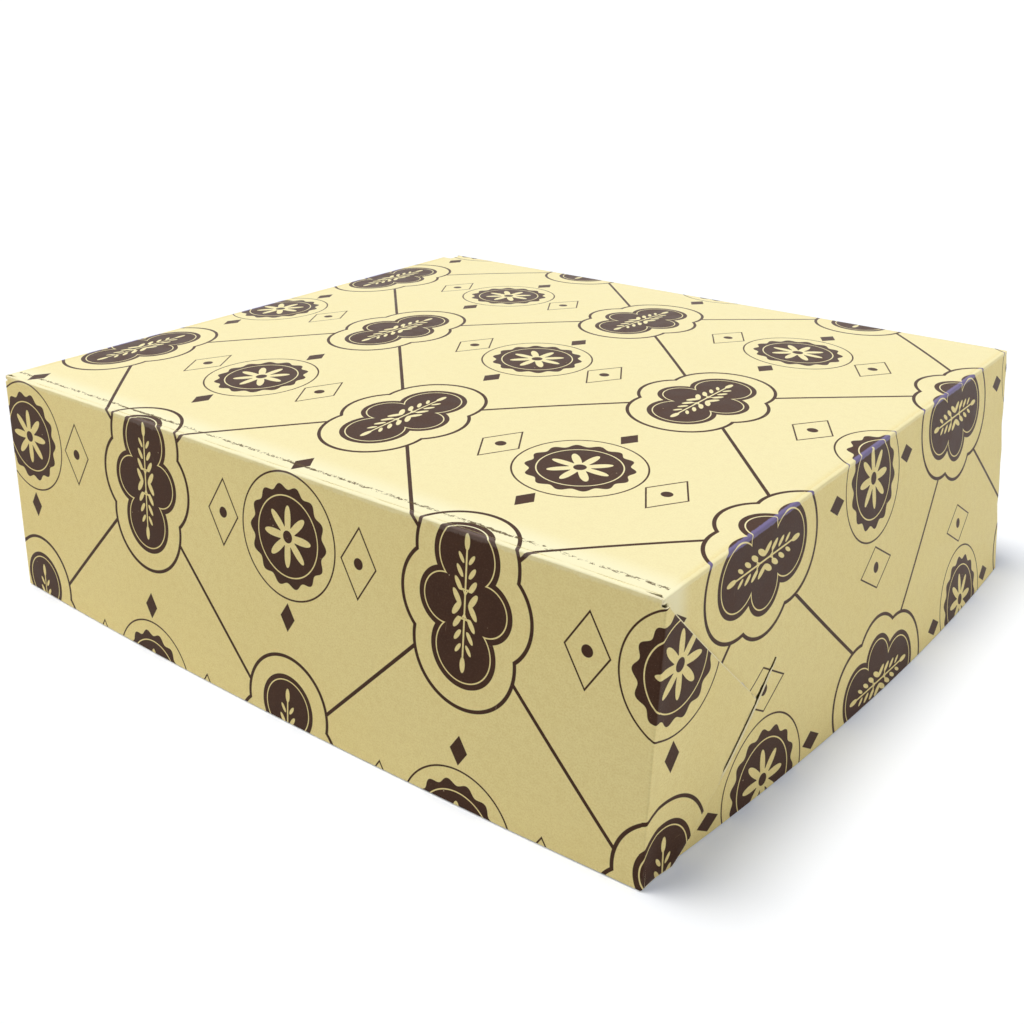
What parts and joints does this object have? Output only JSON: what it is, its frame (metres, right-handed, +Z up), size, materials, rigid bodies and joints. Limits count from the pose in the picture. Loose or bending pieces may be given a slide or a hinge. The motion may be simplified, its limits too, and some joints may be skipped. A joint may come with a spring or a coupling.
{
  "type": "pastry box",
  "caption": "Folding board pastry box with a hinged full-depth lid whose front corners lock by ears tucked into slanted slits; cream and brown print.",
  "frame": {"origin": "middle of the object's box, on the surface the tray stands on", "axes": "+X along the long front side to the right, +Y back to the lid's hinge, +Z up"},
  "size_m": [0.2934, 0.2484, 0.0839],
  "materials": {
    "lid_board": "printed and lightly coated outside, bare inside",
    "tray_board": "printed and lightly coated outside, bare inside",
    "folded_edge": "printed board stretched and rubbed at the fold"
  },
  "bodies": {
    "tray": {"base_panel": "tray_board", "front_wall": "tray_board", "back_wall": "tray_board", "left_wall": "tray_board", "right_wall": "tray_board", "front_left_tray_ear": "tray_board", "front_right_tray_ear": "tray_board", "back_left_tray_ear": "tray_board", "back_right_tray_ear": "tray_board", "base_front_crease": "folded_edge", "base_back_crease": "folded_edge", "base_left_crease": "folded_edge", "base_right_crease": "folded_edge", "front_left_tray_crease": "folded_edge", "front_right_tray_crease": "folded_edge", "back_left_tray_crease": "folded_edge", "back_right_tray_crease": "folded_edge"},
    "lid": {"lid_top": "lid_board", "left_skirt": "lid_board", "right_skirt": "lid_board", "left_skirt_crease": "folded_edge", "right_skirt_crease": "folded_edge", "hinge_crease": "folded_edge"},
    "front_flap": {"front_skirt": "lid_board", "front_skirt_crease": "folded_edge"},
    "left_ear": {"left_lock_ear": "lid_board", "left_lock_tongue": "lid_board", "left_lock_crease": "folded_edge"},
    "right_ear": {"right_lock_ear": "lid_board", "right_lock_tongue": "lid_board", "right_lock_crease": "folded_edge"}
  },
  "joints": [
    {"name": "lid_hinge", "type": "hinge", "parent": "tray", "child": "lid", "pos_m": [0, 0.12395, 0.07975], "axis": [-1, 0, 0], "range_deg": [0, 175], "deforming": ["hinge_crease"]},
    {"name": "front_fold", "type": "hinge", "parent": "lid", "child": "front_flap", "pos_m": [0, -0.11555, 0.07975], "axis": [-1, 0, 0], "range_deg": [0, 86], "deforming": ["front_skirt_crease"]},
    {"name": "left_ear_fold", "type": "hinge", "parent": "front_flap", "child": "left_ear", "pos_m": [-0.13375, -0.11555, 0.0785], "axis": [0, 0.0639, 0.998], "range_deg": [0, 90], "deforming": ["left_lock_tongue", "left_lock_crease"]},
    {"name": "right_ear_fold", "type": "hinge", "parent": "front_flap", "child": "right_ear", "pos_m": [0.13375, -0.11555, 0.0785], "axis": [0, -0.0639, -0.998], "range_deg": [0, 90], "deforming": ["right_lock_tongue", "right_lock_crease"]}
  ]
}
